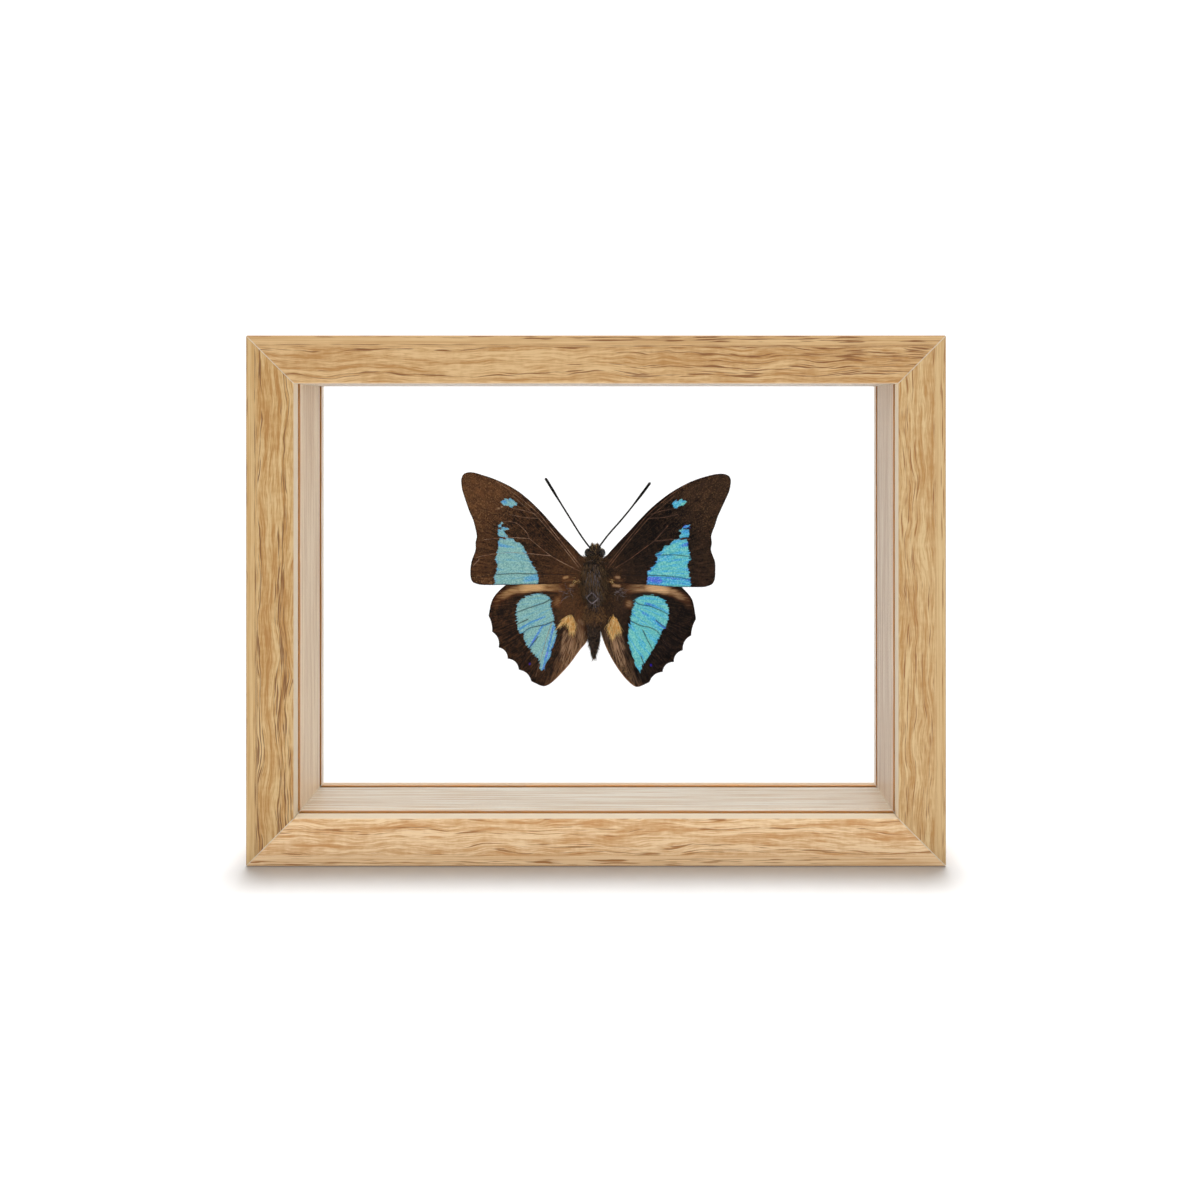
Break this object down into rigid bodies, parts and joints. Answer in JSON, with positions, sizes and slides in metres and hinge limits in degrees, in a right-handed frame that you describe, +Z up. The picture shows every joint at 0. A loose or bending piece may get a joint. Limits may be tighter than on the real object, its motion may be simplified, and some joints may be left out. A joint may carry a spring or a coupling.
{
  "type": "framed butterfly specimen",
  "caption": "Spread blue-banded butterfly fixed between two clear panes in a deep mitred oak frame, for standing on a shelf.",
  "frame": {"origin": "middle of the frame's underside", "axes": "+Z up, the specimen's upper side and the frame's front face -Y, +X to the right as seen from the front"},
  "size_m": [0.211, 0.032, 0.16],
  "materials": {
    "oak": "light oak, sanded and left matt, open pores in dark dashes along the grain",
    "pane_glass": "clear polished float glass",
    "wing_scales": "dry wing with matt dark brown scales and satin blue-green bands",
    "body_hair": "dark brown fine hair, dull",
    "chitin": "near-black insect shell, half glossy",
    "silicone": "clear silicone, slightly milky"
  },
  "bodies": {
    "root": {"frame_bottom_rail": "oak", "frame_top_rail": "oak", "frame_left_stile": "oak", "frame_right_stile": "oak", "front_glass": "pane_glass", "back_glass": "pane_glass", "head": "body_hair", "thorax": "body_hair", "abdomen": "body_hair", "eye_left": "chitin", "eye_right": "chitin", "antenna_left": "chitin", "antenna_right": "chitin", "leg_middle_left": "chitin", "leg_middle_right": "chitin", "leg_hind_left": "chitin", "leg_hind_right": "chitin", "forewing_left": "wing_scales", "forewing_right": "wing_scales", "hindwing_left": "wing_scales", "hindwing_right": "wing_scales", "glue_dot": "silicone"}
  },
  "joints": []
}
